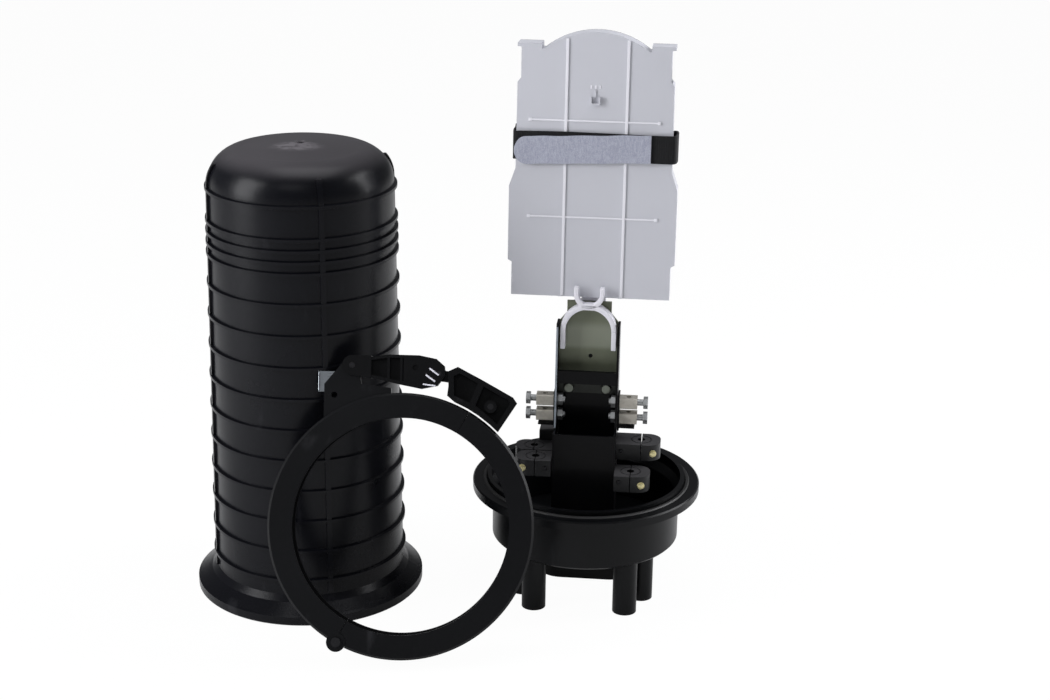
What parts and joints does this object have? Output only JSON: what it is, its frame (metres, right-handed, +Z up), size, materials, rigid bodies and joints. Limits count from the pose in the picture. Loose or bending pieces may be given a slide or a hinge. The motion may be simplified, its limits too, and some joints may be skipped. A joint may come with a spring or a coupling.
{
  "type": "dome splice closure",
  "caption": "A fibre optic splice closure taken apart: ribbed dome cover, clamp ring with latch, and base with cable ports, inner frame and strapped splice trays.",
  "frame": {"origin": "centre of the bounding box's bottom, on the floor", "axes": "+X to the viewer's right, +Y away from the viewer, +Z up"},
  "size_m": [0.4679, 0.2889, 0.5184],
  "materials": {
    "black_moulding": "satin",
    "black_clamp": "satin",
    "rubber": "soft",
    "black_sheet": "powder coated",
    "steel": "zinc plated",
    "black_steel": "blackened",
    "steel_plate": "plain",
    "grey_plate": "passivated",
    "zinc_block": "zinc plated",
    "white_moulding": "satin",
    "white_tray": "satin",
    "clear_cover": "clear moulding",
    "black_strap": "loop pile",
    "white_strap": "hook face"
  },
  "bodies": {
    "root": {"dome_cover": "black_moulding", "base_housing": "black_moulding", "sealing_ring": "rubber", "inner_frame": "black_sheet", "foot_screws": "steel", "crossbar": "black_sheet", "support_plate": "grey_plate", "pan_screws": "steel", "tray_holder": "white_moulding", "tray_carrier": "white_moulding", "tray_rod": "steel", "clamp_bolts": "steel", "clamp_pad_screws": "steel", "hex_screws": "steel", "hex_nuts": "steel", "ring_left_half": "black_moulding", "ring_pin": "black_steel", "arm_pin": "black_steel", "catch_plate": "steel_plate", "catch_rivets": "steel_plate", "clamp_angle_left": "steel_plate", "clamp_angle_right": "steel_plate", "strength_clamp_left_low": "zinc_block", "strength_clamp_left_high": "zinc_block", "strength_clamp_right_low": "zinc_block", "strength_clamp_right_high": "zinc_block", "cable_clamp_left_front_inner": "black_clamp", "cable_clamp_left_front_outer": "black_clamp", "cable_clamp_left_rear_inner": "black_clamp", "cable_clamp_left_rear_outer": "black_clamp", "cable_clamp_right_front_inner": "black_clamp", "cable_clamp_right_front_outer": "black_clamp", "cable_clamp_right_rear_inner": "black_clamp", "cable_clamp_right_rear_outer": "black_clamp"},
    "right_half": {"ring_right_half": "black_moulding"},
    "arm": {"latch_arm": "black_moulding", "lever_pin": "black_steel"},
    "lever": {"latch_lever": "black_moulding", "lever_screw": "black_steel"},
    "trays": {"splice_tray_front": "white_tray", "splice_tray_2": "white_tray", "splice_tray_3": "white_tray", "tray_cover": "clear_cover", "tray_hinge_bar": "white_moulding", "strap_loop": "black_strap", "strap_hook": "white_strap"}
  },
  "joints": [
    {"name": "clamp_hinge", "type": "hinge", "parent": "root", "child": "right_half", "pos_m": [-0.0886, -0.12714, 0.01887], "axis": [0, 0.9272, -0.3746], "range_deg": [0, 60]},
    {"name": "latch_arm_hinge", "type": "hinge", "parent": "root", "child": "arm", "pos_m": [-0.0786, -0.03783, 0.23991], "axis": [0, -0.9272, 0.3746], "range_deg": [0, 60]},
    {"name": "latch_lever_hinge", "type": "hinge", "parent": "arm", "child": "lever", "pos_m": [-0.0035, -0.04027, 0.23388], "axis": [0, -0.9272, 0.3746], "range_deg": [0, 15]},
    {"name": "tray_tilt", "type": "hinge", "parent": "root", "child": "trays", "pos_m": [0.12977, 0.04781, 0.271], "axis": [-0.9954, 0.0958, 0], "range_deg": [0, 75]}
  ],
  "couplings": [
    {"joint": "latch_arm_hinge", "follows": "clamp_hinge", "ratio": 1},
    {"joint": "latch_lever_hinge", "follows": "clamp_hinge", "ratio": 0.25}
  ]
}
